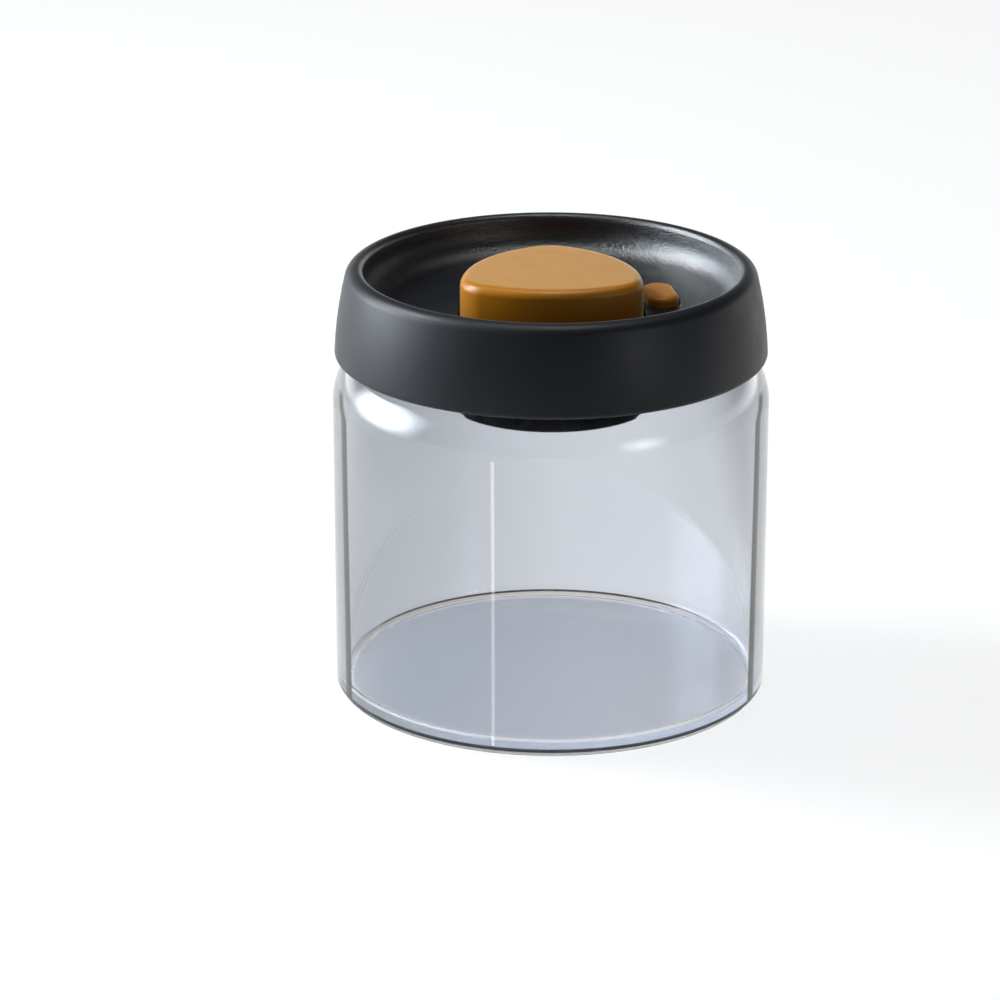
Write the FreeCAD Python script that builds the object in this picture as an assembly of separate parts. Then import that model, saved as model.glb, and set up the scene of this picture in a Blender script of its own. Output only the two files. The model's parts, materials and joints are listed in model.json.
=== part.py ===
import FreeCAD, Part
import math
import os

os.makedirs("parts", exist_ok=True)

# Vacuum canister: a glass jar closed by a lid with a press pump and a release button.
# Millimetres, +Z up, front towards -Y, origin at the middle of the base.

# Whole canister
canister_height = 105.0
jar_radius = 52.5

# Clearances that fitted pieces share
running_gap = 0.05
passing_gap = 0.3
seat_gap = 0.1
cut_overrun = 2.0
closing_reach = 0.001

# Glass jar
glass_wall = 2.4
glass_base = 2.6
base_corner = 1.8
base_inner_corner = 2.6
base_ring = 9.5
base_recess_rise = 0.8
shoulder_round = 14.0
neck_step = 6.0
neck_fillet = 3.0
neck_cover = 1.9
mouth_round = 0.7

# Lid shell
lid_height = 21.5
skirt_inset = 0.5
skirt_curve = 96.0
skirt_wall = 2.0
skirt_edge = 1.1
rim_inset = 4.6
rim_round = 1.5
hollow_rise = 2.0
dish_depth = 9.5
dish_straight = 2.0
dish_floor = 1.8
lug_count = 6
lug_sweep = 26.0
lug_overlap = 0.5
lug_thickness = 1.0
lug_root = 0.6

# Lid plug, the inner lid that goes down into the mouth
plug_flange = 1.7
plug_flange_lip = 0.9
plug_wall = 1.8
plug_depth = 10.1
plug_floor = 1.8
plug_bead = 1.2
plug_bead_height = 4.3
plug_bead_round = 1.6
plug_collar_wall = 1.6
plug_boss_end = 1.2

# Lid gasket
gasket_flange = 0.8
gasket_room = 2.4
gasket_sleeve = 1.0
gasket_lip_root = 1.2
gasket_lip_tip = 0.5
gasket_lip_rise = 1.3
gasket_lip_shares = (0.24, 0.58)

# Pump cylinder
cylinder_radius = 24.0
cylinder_wall = 2.0
cylinder_rise = 2.5
cylinder_floor = 1.4
cylinder_spigot = 0.9
cylinder_ear = 1.3
intake_hole_count = 6
intake_hole_radius = 0.9
intake_hole_circle = 4.0

# Ring seal between the cylinder and the plug
ring_groove_depth = 0.9
ring_groove_height = 1.6
ring_straight = 0.4

# Intake valve
valve_flap_radius = 6.5
valve_flap = 0.6
valve_edge = 0.3
valve_stem_radius = 1.2
valve_bulb_radius = 1.9
valve_bulb = 1.0

# Filter and its cap
filter_thickness = 1.0
cap_thickness = 1.5
cap_height = 2.8
cap_edge = 0.9
cap_ring_wall = 1.6
cap_slot_count = 12
cap_slot_width = 1.8
cap_slot_shares = (0.32, 0.82)

# Guide plate, the head of the pump
guide_plate = 1.5
guide_wall = 1.8
guide_rise = 7.0
guide_vent_count = 6
guide_vent_radius = 1.5
spring_ring_wall = 0.8
spring_ring_height = 0.9

# Screws
screw_radius = 1.1
screw_head_radius = 2.0
screw_head = 1.2
screw_length = 5.0
screw_boss_radius = 2.4
guide_ear_angles = (45.0, 165.0, 285.0)
cylinder_ear_angles = (90.0, 210.0, 330.0)

# Pump button, a rounded triangle with its point at the back
button_inset = 2.25
button_taper = 2.5
button_corner_share = 0.207
button_point_share = 0.23
button_side_share = 0.69
button_widest_share = 0.195
button_wall = 1.8
button_roof = 2.0
button_edge = 2.2
button_below_rim = 0.4
button_gap = 0.5
button_post_radius = 5.0
pump_travel = 6.0

# Piston and its seal
piston_thickness = 3.2
piston_gap = 0.4
piston_groove_depth = 2.0
piston_groove_height = 1.4
piston_groove_rise = 0.9
piston_recess_room = 2.5
piston_recess = 1.6
piston_end_gap = 0.4
seal_base = 0.7
seal_lip = 0.4

# Springs
pump_spring_room = 0.9
pump_spring_wire = 1.4
pump_spring_turns = 4.5
release_spring_radius = 2.0
release_spring_wire = 0.45
release_spring_turns = 6.0

# Release button with its stem and valve
release_room = 0.6
release_angle = 9.0
release_length = 14.0
release_width = 7.5
release_proud = 0.4
release_edge = 1.2
release_gap = 0.35
release_flange = 0.9
release_tab = 1.2
release_travel = 1.8
release_stem_offset = 1.0
release_stem_radius = 1.2
release_tail = 0.7
release_vent_gap = 0.5
release_boss_wall = 1.3
release_boss_rise = 2.0
release_seal_radius = 3.0
release_seal_height = 1.5
release_seal_rim = 0.6
release_clip = 0.6
release_clip_radius = 2.2
release_clip_groove = 0.3
release_clip_mouth = 70.0

# Heights that follow from the sizes above, from the rim down
skirt_bottom = canister_height - lid_height
floor_top = canister_height - dish_depth
floor_under = floor_top - dish_floor
plug_flange_under = floor_under - plug_flange
mouth_top = plug_flange_under - gasket_flange
plug_bottom = plug_flange_under - plug_depth
plug_floor_top = plug_bottom + plug_floor
cylinder_top = plug_floor_top + cylinder_rise
ear_under = cylinder_top - cylinder_ear
guide_top = cylinder_top + guide_plate
piston_top = cylinder_top - passing_gap
piston_bottom = piston_top - piston_thickness
cylinder_floor_top = piston_bottom - pump_travel - piston_end_gap
cylinder_floor_under = cylinder_floor_top - cylinder_floor
cylinder_bottom = cylinder_floor_under - cylinder_spigot
cap_bottom = cylinder_bottom - cap_height
button_top = canister_height - button_below_rim
button_ceiling = button_top - button_roof
button_bottom = guide_top + pump_travel + passing_gap
release_top = floor_top + release_travel + release_proud
release_flange_top = floor_under - passing_gap
release_flange_under = release_flange_top - release_flange
release_boss_top = plug_floor_top + release_boss_rise

# Radii that follow from the sizes above
neck_radius = jar_radius - neck_step
neck_bore = neck_radius - glass_wall
base_recess_radius = jar_radius - base_ring
skirt_radius = jar_radius - skirt_inset
rim_ridge_radius = skirt_radius - rim_inset
dish_round = dish_depth - rim_round - dish_straight
plug_flange_radius = neck_radius + plug_flange_lip
plug_wall_radius = neck_bore - gasket_room
plug_inner = plug_wall_radius - plug_wall
cylinder_bore = cylinder_radius - cylinder_wall
screw_circle = cylinder_radius + screw_boss_radius
release_stem_circle = cylinder_radius + release_room + release_seal_radius
release_circle = release_stem_circle - release_stem_offset
collar_bore = cylinder_radius + seat_gap
collar_radius = collar_bore + plug_collar_wall
screw_hole = screw_radius + seat_gap
guide_bore = button_post_radius + running_gap
guide_radius = guide_bore + guide_wall
pump_spring_radius = guide_radius + pump_spring_room + pump_spring_wire / 2
spring_ring_bore = pump_spring_radius + pump_spring_wire / 2 + passing_gap
spring_ring_radius = spring_ring_bore + spring_ring_wall
piston_radius = cylinder_bore - piston_gap
piston_recess_radius = valve_flap_radius + piston_recess_room
release_bore = release_stem_radius + release_vent_gap

# Outline of the pump button
button_width = (cylinder_radius - button_inset) * 2
button_depth = button_width - button_taper
button_corner = button_width * button_corner_share
button_point = button_width * button_point_share
button_side = button_width * button_side_share
button_widest = button_width * button_widest_share


def point(radius, height):
    return FreeCAD.Vector(radius, 0, height)


def around(radius, angle, height=0):
    turn = math.radians(angle)
    return FreeCAD.Vector(radius * math.cos(turn), radius * math.sin(turn), height)


def line(start, end):
    return Part.LineSegment(start, end).toShape()


def profile_arc(centre, radius, start, end):
    """Arc in the XZ plane between two angles in degrees, measured from +X towards +Z."""
    ends = []
    for angle in (start, (start + end) / 2, end):
        turn = math.radians(angle)
        ends.append(centre + FreeCAD.Vector(radius * math.cos(turn), 0, radius * math.sin(turn)))
    return Part.Arc(*ends).toShape()


def plan_arc(centre, radius, start, end):
    """Arc in a level plane between two angles in degrees."""
    ends = [centre + around(radius, angle) for angle in (start, (start + end) / 2, end)]
    return Part.Arc(*ends).toShape()


def lean(start, end):
    """Angle in degrees of the way from one profile point to another."""
    return math.degrees(math.atan2(end.z - start.z, end.x - start.x))


def heading(start, end):
    """Angle in degrees of the way from one plan point to another."""
    return math.degrees(math.atan2(end.y - start.y, end.x - start.x))


def chain(edges):
    """Closed wire through the edges in order, with straight lines where their ends lie apart."""
    joined = []
    for index, edge in enumerate(edges):
        start = edges[index - 1].lastVertex(True).Point
        end = edge.firstVertex(True).Point
        if start.distanceToPoint(end) > closing_reach:
            joined.append(line(start, end))
        joined.append(edge)
    return Part.Wire(Part.__sortEdges__(joined))


def turned(wire, axis=FreeCAD.Vector()):
    return Part.Face(wire).revolve(axis, FreeCAD.Vector(0, 0, 1), 360)


def turned_points(pairs):
    """Solid of revolution from straight-sided (radius, height) pairs."""
    corners = [point(radius, height) for radius, height in pairs]
    return turned(Part.makePolygon(corners + corners[:1]))


def disc(radius, bottom, top, centre=FreeCAD.Vector()):
    return Part.makeCylinder(radius, top - bottom, FreeCAD.Vector(centre.x, centre.y, bottom))


def tube(bore, radius, bottom, top, centre=FreeCAD.Vector()):
    hole = disc(bore, bottom - cut_overrun, top + cut_overrun, centre)
    return disc(radius, bottom, top, centre).cut(hole)


def raised(wire, bottom, top):
    """Prism on a wire drawn at height zero."""
    face = Part.Face(wire)
    face.translate(FreeCAD.Vector(0, 0, bottom))
    return face.extrude(FreeCAD.Vector(0, 0, top - bottom))


def circle_centre(first, first_reach, second, second_reach):
    """Profile point at the given distances from two others, on the inner side of both."""
    apart = second - first
    span = apart.Length
    along = (span ** 2 + first_reach ** 2 - second_reach ** 2) / (2 * span)
    across = math.sqrt(first_reach ** 2 - along ** 2)
    way = FreeCAD.Vector(apart).normalize()
    return first + way * along + FreeCAD.Vector(-way.z, 0, way.x) * across


def ear(angle, circle, bottom, top):
    """Arm from the axis out to a round end that takes a screw."""
    corner = FreeCAD.Vector(0, -screw_boss_radius, bottom)
    arm = Part.makeBox(circle, screw_boss_radius * 2, top - bottom, corner)
    arm.rotate(FreeCAD.Vector(), FreeCAD.Vector(0, 0, 1), angle)
    return arm.fuse(disc(screw_boss_radius, bottom, top, around(circle, angle)))


def screw(seat, length, way, centre):
    """Pan-head screw whose head rests on the seat and whose shank points up (1) or down (-1)."""
    head = seat - way * screw_head
    end = seat + way * length
    tip = end - way * screw_radius
    crown = point(screw_head_radius - screw_head / 2, head)
    shoulder = point(screw_head_radius, head + way * screw_head / 2)
    bow = screw_head / 2
    bend = crown + point(bow * math.sin(math.pi / 4), way * bow * (1 - math.cos(math.pi / 4)))
    shape = turned(Part.Wire([
        line(point(0, head), crown),
        Part.Arc(crown, bend, shoulder).toShape(),
        line(shoulder, point(screw_head_radius, seat)),
        line(point(screw_head_radius, seat), point(screw_radius, seat)),
        line(point(screw_radius, seat), point(screw_radius, tip)),
        line(point(screw_radius, tip), point(screw_radius / 2, end)),
        line(point(screw_radius / 2, end), point(0, end)),
        line(point(0, end), point(0, head)),
    ]))
    shape.translate(FreeCAD.Vector(centre.x, centre.y, 0))
    return shape


def coil(centre, radius, wire, bottom, top, turns, name):
    """Open helical spring: one tube along pairs of tangent arcs, one pair to each quarter turn."""
    steps = round(turns * 4)
    rise = (top - bottom - wire) / steps
    base = FreeCAD.Vector(centre.x, centre.y, bottom + wire / 2)
    places = [base + around(radius, 90 * step, rise * step) for step in range(steps + 1)]
    climb = rise / (math.pi / 2)
    ways = [around(radius, 90 * step + 90, climb).normalize() for step in range(steps + 1)]
    edges = []
    for step in range(steps):
        span = places[step + 1] - places[step]
        both = ways[step] + ways[step + 1]
        square = both.dot(both) - 4
        half = span.dot(both)
        reach = (half - math.sqrt(half ** 2 - square * span.dot(span))) / square
        near = places[step] + ways[step] * reach
        far = places[step + 1] - ways[step + 1] * reach
        middle = (near + far) / 2
        edges.append(bend_arc(places[step], near, middle))
        edges.append(bend_arc(middle, far, places[step + 1]))
    section = Part.Wire(Part.makeCircle(wire / 2, places[0], ways[0]))
    print(name, "least gap between turns", round(rise * 4 - wire, 2))
    return Part.Wire(edges).makePipeShell([section], True, False)


def bend_arc(start, corner, end):
    """Arc that leaves start towards the corner and reaches end coming from it."""
    middle = (start + end) / 2
    drop = corner - middle
    half = (end - start).Length / 2
    side = (corner - start).Length
    sagitta = half * (side - half) / drop.Length
    return Part.Arc(start, middle + drop.normalize() * sagitta, end).toShape()


def button_outline(grow):
    """Rounded triangle of six tangent arcs, made larger all round by grow."""
    corner = FreeCAD.Vector(button_width / 2 - button_corner, -button_widest, 0)
    tip = FreeCAD.Vector(0, button_depth / 2 - button_point, 0)
    inset = button_depth / 2 - button_widest
    front = (inset ** 2 + corner.x ** 2 - button_corner ** 2) / (2 * (inset - button_corner))
    front_centre = FreeCAD.Vector(0, front - button_depth / 2, 0)
    apart = tip - corner
    along = (apart.Length ** 2 + (button_side - button_corner) ** 2 - (button_side - button_point) ** 2)
    along = along / (2 * apart.Length)
    across = math.sqrt((button_side - button_corner) ** 2 - along ** 2)
    way = FreeCAD.Vector(apart).normalize()
    side_centre = corner + way * along + FreeCAD.Vector(-way.y, way.x, 0) * across
    low = heading(front_centre, corner)
    mid = heading(side_centre, corner)
    high = heading(side_centre, tip)
    left_corner = FreeCAD.Vector(-corner.x, corner.y, 0)
    left_side = FreeCAD.Vector(-side_centre.x, side_centre.y, 0)
    return Part.Wire([
        plan_arc(front_centre, front + grow, -180 - low, low),
        plan_arc(corner, button_corner + grow, low, mid),
        plan_arc(side_centre, button_side + grow, mid, high),
        plan_arc(tip, button_point + grow, high, 180 - high),
        plan_arc(left_side, button_side + grow, 180 - high, 180 - mid),
        plan_arc(left_corner, button_corner + grow, 180 - mid, 180 - low),
    ])


def release_outline(grow, stretch=0):
    """Slot shape of the release button, made larger by grow and longer by stretch at each end."""
    centre = around(release_circle, release_angle)
    half = release_length / 2 - release_width / 2 + stretch
    ahead = centre + around(half, release_angle + 90)
    behind = centre - around(half, release_angle + 90)
    end = release_width / 2 + grow
    return chain([
        plan_arc(ahead, end, release_angle, release_angle + 180),
        plan_arc(behind, end, release_angle + 180, release_angle + 360),
    ])


def top_edges(shape, height):
    return [edge for edge in shape.Edges if abs(edge.BoundBox.ZMin - height) < running_gap
            and abs(edge.BoundBox.ZMax - height) < running_gap]


def save(name, shape):
    shape.exportStep("parts/" + name + ".step")


# Glass jar: one revolved wall with a domed underside, a round shoulder and a straight neck
def glass_jar():
    dome = (base_recess_radius ** 2 + base_recess_rise ** 2) / (2 * base_recess_rise)
    dome_centre = point(0, base_recess_rise - dome)
    dome_lean = lean(dome_centre, point(base_recess_radius, 0))
    neck_start = skirt_bottom + neck_cover
    fillet_centre = point(neck_radius + neck_fillet, neck_start)
    shoulder_out = jar_radius - shoulder_round
    drop = (shoulder_round + neck_fillet) ** 2 - (fillet_centre.x - shoulder_out) ** 2
    shoulder_centre = point(shoulder_out, neck_start - math.sqrt(drop))
    turn = lean(shoulder_centre, fillet_centre)
    corner = jar_radius - base_corner
    inner = jar_radius - glass_wall - base_inner_corner
    inner_shoulder = shoulder_round - glass_wall
    inner_fillet = neck_fillet + glass_wall
    outer_lip = point(neck_radius - mouth_round, mouth_top - mouth_round)
    inner_lip = point(neck_bore + mouth_round, mouth_top - mouth_round)
    inner_floor = point(inner, glass_base + base_inner_corner)
    wire = chain([
        profile_arc(dome_centre, dome, 90, dome_lean),
        profile_arc(point(corner, base_corner), base_corner, -90, 0),
        profile_arc(shoulder_centre, shoulder_round, 0, turn),
        profile_arc(fillet_centre, neck_fillet, turn + 180, 180),
        profile_arc(outer_lip, mouth_round, 0, 90),
        profile_arc(inner_lip, mouth_round, 90, 180),
        profile_arc(fillet_centre, inner_fillet, 180, turn + 180),
        profile_arc(shoulder_centre, inner_shoulder, turn, 0),
        profile_arc(inner_floor, base_inner_corner, 0, -90),
        line(point(inner, glass_base), point(0, glass_base)),
    ])
    return turned(wire)


# Lid shell: bulged skirt, rounded rim, dished top with two openings, lugs that hold the plug
def lid_shell():
    rim = point(rim_ridge_radius, canister_height - rim_round)
    foot = point(skirt_radius, skirt_bottom)
    curve = circle_centre(foot, skirt_curve, rim, skirt_curve - rim_round)
    edge_rise = skirt_bottom + skirt_edge
    edge_reach = math.sqrt((skirt_curve - skirt_edge) ** 2 - (edge_rise - curve.z) ** 2)
    edge = point(curve.x + edge_reach, edge_rise)
    edge_lean = lean(curve, edge)
    rim_lean = lean(curve, rim)
    dish_edge = rim_ridge_radius - rim_round - dish_round
    dish = point(dish_edge, floor_top + dish_round)
    under = dish_round + dish_floor
    hollow_top = floor_top + hollow_rise
    under_lean = math.degrees(math.asin((hollow_top - dish.z) / under))
    inside = skirt_curve - skirt_wall
    inside_top = math.degrees(math.asin((hollow_top - curve.z) / inside))
    inside_foot = math.degrees(math.asin((skirt_bottom - curve.z) / inside))
    shell = turned(chain([
        profile_arc(edge, skirt_edge, -90, edge_lean),
        profile_arc(curve, skirt_curve, edge_lean, rim_lean),
        profile_arc(rim, rim_round, rim_lean, 180),
        profile_arc(dish, dish_round, 0, -90),
        line(point(0, floor_top), point(0, floor_under)),
        profile_arc(dish, under, -90, under_lean),
        profile_arc(curve, inside, inside_top, inside_foot),
    ]))
    lug_top = plug_flange_under - seat_gap
    lug_foot = lug_top - lug_thickness
    lug_inner = plug_flange_radius - lug_overlap
    lug_outer = curve.x + math.sqrt(inside ** 2 - (lug_top - curve.z) ** 2) + lug_root
    ring = Part.makeCylinder(lug_outer, lug_thickness, point(0, lug_foot), FreeCAD.Vector(0, 0, 1), lug_sweep)
    ring = ring.cut(disc(lug_inner, lug_foot - cut_overrun, lug_top + cut_overrun))
    for index in range(lug_count):
        lug = ring.copy()
        lug.rotate(FreeCAD.Vector(), FreeCAD.Vector(0, 0, 1), index * 360 / lug_count - lug_sweep / 2)
        shell = shell.fuse(lug)
    for angle in guide_ear_angles:
        centre = around(screw_circle, angle)
        shell = shell.fuse(disc(screw_boss_radius, guide_top, floor_top, centre))
        shell = shell.cut(disc(screw_hole, guide_top - cut_overrun, guide_top + screw_length, centre))
    low = floor_under - cut_overrun
    high = floor_top + cut_overrun
    shell = shell.cut(raised(button_outline(button_gap), low, high))
    return shell.cut(raised(release_outline(release_gap), low, high))


# Lid plug: flange under the shell, wall inside the mouth, floor with the pump and vent openings
def lid_plug():
    bead = plug_wall_radius + plug_bead
    round_centre = point(bead - plug_bead_round, plug_bottom + plug_bead_round)
    corners = [
        point(bead, plug_bottom + plug_bead_height),
        point(plug_wall_radius, plug_bottom + plug_bead_height),
        point(plug_wall_radius, plug_flange_under),
        point(plug_flange_radius, plug_flange_under),
        point(plug_flange_radius, floor_under),
        point(plug_inner, floor_under),
        point(plug_inner, plug_floor_top),
        point(collar_radius, plug_floor_top),
        point(collar_radius, ear_under),
        point(collar_bore, ear_under),
        point(collar_bore, plug_bottom),
    ]
    sides = [line(first, second) for first, second in zip(corners, corners[1:])]
    plug = turned(chain([profile_arc(round_centre, plug_bead_round, -90, 0)] + sides))
    for angle in cylinder_ear_angles:
        centre = around(screw_circle, angle)
        hole_end = cylinder_top - screw_length - seat_gap
        boss = disc(screw_boss_radius, hole_end - plug_boss_end, ear_under, centre)
        plug = plug.fuse(boss.cut(disc(collar_bore, hole_end - plug_boss_end, ear_under)))
        plug = plug.cut(disc(screw_hole, hole_end, ear_under + cut_overrun, centre))
    stem = around(release_stem_circle, release_angle)
    boss = disc(release_bore + release_boss_wall, plug_bottom, release_boss_top, stem)
    plug = plug.fuse(boss.cut(disc(collar_bore, plug_bottom, release_boss_top)))
    return plug.cut(disc(release_bore, plug_bottom - cut_overrun, release_boss_top + cut_overrun, stem))


# Lid gasket: sleeve on the plug, flange on the glass, lips towards the neck
def lid_gasket():
    inner = plug_wall_radius + seat_gap
    outer = inner + gasket_sleeve
    foot = plug_bottom + plug_bead_height + seat_gap
    lip_tip = neck_bore - passing_gap
    flange = neck_radius - mouth_round + seat_gap
    pairs = [(inner, foot), (outer, foot)]
    for share in gasket_lip_shares:
        root = foot + (mouth_top - foot) * share
        pairs.append((outer, root))
        pairs.append((lip_tip, root + gasket_lip_rise))
        pairs.append((lip_tip, root + gasket_lip_rise + gasket_lip_tip))
        pairs.append((outer, root + gasket_lip_root))
    pairs += [(outer, mouth_top), (flange, mouth_top)]
    pairs += [(flange, plug_flange_under), (inner, plug_flange_under)]
    return turned_points(pairs)


# Pump cylinder: bore with a floor, a groove for its ring seal and three screw ears
def ring_groove():
    middle = (plug_bottom + ear_under) / 2
    return middle - ring_groove_height / 2, middle + ring_groove_height / 2


def pump_cylinder():
    low, high = ring_groove()
    groove = cylinder_radius - ring_groove_depth
    body = turned_points([
        (cylinder_bore, cylinder_bottom), (cylinder_radius, cylinder_bottom), (cylinder_radius, low),
        (groove, low), (groove, high), (cylinder_radius, high), (cylinder_radius, cylinder_top),
        (cylinder_bore, cylinder_top), (cylinder_bore, cylinder_floor_top), (0, cylinder_floor_top),
        (0, cylinder_floor_under), (cylinder_bore, cylinder_floor_under),
    ])
    bore = disc(cylinder_bore, cylinder_floor_top, cylinder_top + cut_overrun)
    for angle in cylinder_ear_angles:
        arm = ear(angle, screw_circle, ear_under, cylinder_top).cut(bore)
        hole = disc(screw_hole, ear_under - cut_overrun, cylinder_top + cut_overrun,
                    around(screw_circle, angle))
        body = body.fuse(arm).cut(hole)
    low = cylinder_floor_under - cut_overrun
    high = cylinder_floor_top + cut_overrun
    for index in range(intake_hole_count):
        place = around(intake_hole_circle, index * 360 / intake_hole_count)
        body = body.cut(disc(intake_hole_radius, low, high, place))
    return body.cut(disc(valve_stem_radius + seat_gap, low, high))


def cylinder_seal():
    low, high = ring_groove()
    inner = cylinder_radius - ring_groove_depth + running_gap
    outer = collar_bore - running_gap
    half = (outer - inner) / 2
    middle = (low + high) / 2
    top = point(inner + half, middle + ring_straight / 2)
    foot = point(inner + half, middle - ring_straight / 2)
    return turned(chain([profile_arc(top, half, 0, 180), profile_arc(foot, half, 180, 360)]))


def cylinder_screws():
    places = [around(screw_circle, angle) for angle in cylinder_ear_angles]
    return Part.makeCompound([screw(cylinder_top, screw_length, -1, place) for place in places])


# Intake valve: a flap over the cylinder's holes, held by a bulb under the floor
def intake_valve():
    bulb_top = cylinder_floor_under
    tail = bulb_top - valve_bulb
    return turned_points([
        (0, tail), (valve_stem_radius, tail), (valve_bulb_radius, bulb_top), (valve_stem_radius, bulb_top),
        (valve_stem_radius, cylinder_floor_top), (valve_flap_radius, cylinder_floor_top),
        (valve_flap_radius, cylinder_floor_top + valve_edge),
        (valve_stem_radius, cylinder_floor_top + valve_flap), (0, cylinder_floor_top + valve_flap),
    ])


# Filter cap: a slotted cover that plugs into the foot of the cylinder and holds the filter
def cap_ring():
    outer = cylinder_bore - seat_gap
    return outer - cap_ring_wall, outer


def filter_disc():
    bottom = cap_bottom + cap_thickness
    return disc(cap_ring()[0] - seat_gap, bottom, bottom + filter_thickness)


def filter_cap():
    ring_inner, ring_outer = cap_ring()
    floor = cap_bottom + cap_thickness
    ring_top = cylinder_floor_under - seat_gap
    corners = [
        point(cylinder_radius, cylinder_bottom),
        point(ring_outer, cylinder_bottom),
        point(ring_outer, ring_top),
        point(ring_inner, ring_top),
        point(ring_inner, floor),
        point(0, floor),
        point(0, cap_bottom),
    ]
    sides = [line(first, second) for first, second in zip(corners, corners[1:])]
    edge = profile_arc(point(cylinder_radius - cap_edge, cap_bottom + cap_edge), cap_edge, -90, 0)
    cap = turned(chain([edge] + sides))
    half = cap_slot_width / 2
    for index in range(cap_slot_count):
        start = FreeCAD.Vector(ring_inner * cap_slot_shares[0] + half, 0, 0)
        end = FreeCAD.Vector(ring_inner * cap_slot_shares[1] - half, 0, 0)
        slot = raised(chain([plan_arc(start, half, 90, 270), plan_arc(end, half, -90, 90)]),
                      cap_bottom - cut_overrun, floor + cut_overrun)
        slot.rotate(FreeCAD.Vector(), FreeCAD.Vector(0, 0, 1), index * 360 / cap_slot_count)
        cap = cap.cut(slot)
    return cap


# Guide plate: closes the cylinder, guides the pump's post and carries its spring
def guide_plate_head():
    tower_top = guide_top + guide_rise
    vent_circle = (spring_ring_radius + cylinder_bore) / 2
    plate = disc(cylinder_radius, cylinder_top, guide_top)
    for angle in guide_ear_angles:
        plate = plate.fuse(ear(angle, screw_circle, cylinder_top, guide_top))
    plate = plate.fuse(disc(guide_radius, cylinder_top, tower_top))
    seat = tube(spring_ring_bore, spring_ring_radius, guide_top, guide_top + spring_ring_height)
    plate = plate.fuse(seat)
    low = cylinder_top - cut_overrun
    for angle in guide_ear_angles:
        plate = plate.cut(disc(screw_hole, low, guide_top + cut_overrun, around(screw_circle, angle)))
    for index in range(guide_vent_count):
        place = around(vent_circle, index * 360 / guide_vent_count)
        plate = plate.cut(disc(guide_vent_radius, low, guide_top + cut_overrun, place))
    return plate.cut(disc(guide_bore, low, tower_top + cut_overrun))


def guide_screws():
    places = [around(screw_circle, angle) for angle in guide_ear_angles]
    return Part.makeCompound([screw(cylinder_top, screw_length, 1, place) for place in places])


# Pump button: hollow cap with a rounded top edge, a post for the piston and a ring for the spring
def pump_button():
    cap = raised(button_outline(0), button_bottom, button_top)
    cap = cap.makeFillet(button_edge, top_edges(cap, button_top))
    cap = cap.cut(raised(button_outline(-button_wall), button_bottom - cut_overrun, button_ceiling))
    ring_foot = button_ceiling - spring_ring_height
    cap = cap.fuse(tube(spring_ring_bore, spring_ring_radius, ring_foot, button_ceiling))
    cap = cap.fuse(disc(button_post_radius, piston_top, button_ceiling))
    hole_end = piston_bottom + piston_recess + screw_length + seat_gap
    return cap.cut(disc(screw_hole, piston_top - cut_overrun, hole_end))


# Piston with its groove for the lip seal and a recess that clears the intake valve
def piston():
    groove = piston_radius - piston_groove_depth
    low = piston_bottom + piston_groove_rise
    high = low + piston_groove_height
    ceiling = piston_bottom + piston_recess
    return turned_points([
        (piston_recess_radius, piston_bottom), (piston_radius, piston_bottom), (piston_radius, low),
        (groove, low), (groove, high), (piston_radius, high), (piston_radius, piston_top),
        (screw_hole, piston_top), (screw_hole, ceiling), (piston_recess_radius, ceiling),
    ])


def piston_seal():
    inner = piston_radius - piston_groove_depth + running_gap
    foot = piston_bottom + piston_groove_rise + running_gap
    tip = foot + piston_groove_height - running_gap * 2
    outer = cylinder_bore - running_gap
    return turned_points([
        (inner, foot), (piston_radius, foot), (outer, tip), (outer - seal_lip, tip),
        (piston_radius - seal_lip, foot + seal_base), (inner, foot + seal_base),
    ])


def piston_screw():
    return screw(piston_bottom + piston_recess, screw_length, 1, FreeCAD.Vector())


# Springs
def pump_spring():
    return coil(FreeCAD.Vector(), pump_spring_radius, pump_spring_wire,
                guide_top, button_ceiling - seat_gap, pump_spring_turns, "pump_spring")


def release_spring():
    stem = around(release_stem_circle, release_angle)
    return coil(stem, release_spring_radius, release_spring_wire,
                release_boss_top, release_flange_under - seat_gap, release_spring_turns, "release_spring")


# Release button: slot-shaped key with stop tabs at its ends and a stem that carries the vent valve
def release_button():
    stem = around(release_stem_circle, release_angle)
    seal_foot = plug_bottom - release_seal_height
    clip_foot = seal_foot - release_clip
    key = raised(release_outline(0), release_flange_under, release_top)
    key = key.makeFillet(release_edge, top_edges(key, release_top))
    key = key.fuse(raised(release_outline(0, release_tab), release_flange_under, release_flange_top))
    key = key.fuse(disc(release_stem_radius, clip_foot - release_tail, release_flange_under, stem))
    neck = tube(release_stem_radius - release_clip_groove, release_stem_radius + cut_overrun,
                clip_foot, seal_foot, stem)
    return key.cut(neck)


def release_seal():
    stem = around(release_stem_circle, release_angle)
    inner = release_stem_radius + running_gap
    foot = plug_bottom - release_seal_height
    seal = turned_points([
        (inner, foot), (release_clip_radius, foot), (release_seal_radius, plug_bottom - release_seal_rim),
        (release_seal_radius, plug_bottom), (inner, plug_bottom),
    ])
    seal.translate(stem)
    return seal


def release_retainer():
    stem = around(release_stem_circle, release_angle)
    foot = plug_bottom - release_seal_height - release_clip
    inner = release_stem_radius - release_clip_groove + running_gap
    ring = tube(inner, release_clip_radius, foot + running_gap, foot + release_clip - running_gap, stem)
    base = FreeCAD.Vector(stem.x, stem.y, foot)
    up = FreeCAD.Vector(0, 0, 1)
    mouth = Part.makeCylinder(release_clip_radius + cut_overrun, release_clip, base, up, release_clip_mouth)
    return ring.cut(mouth)


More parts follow.
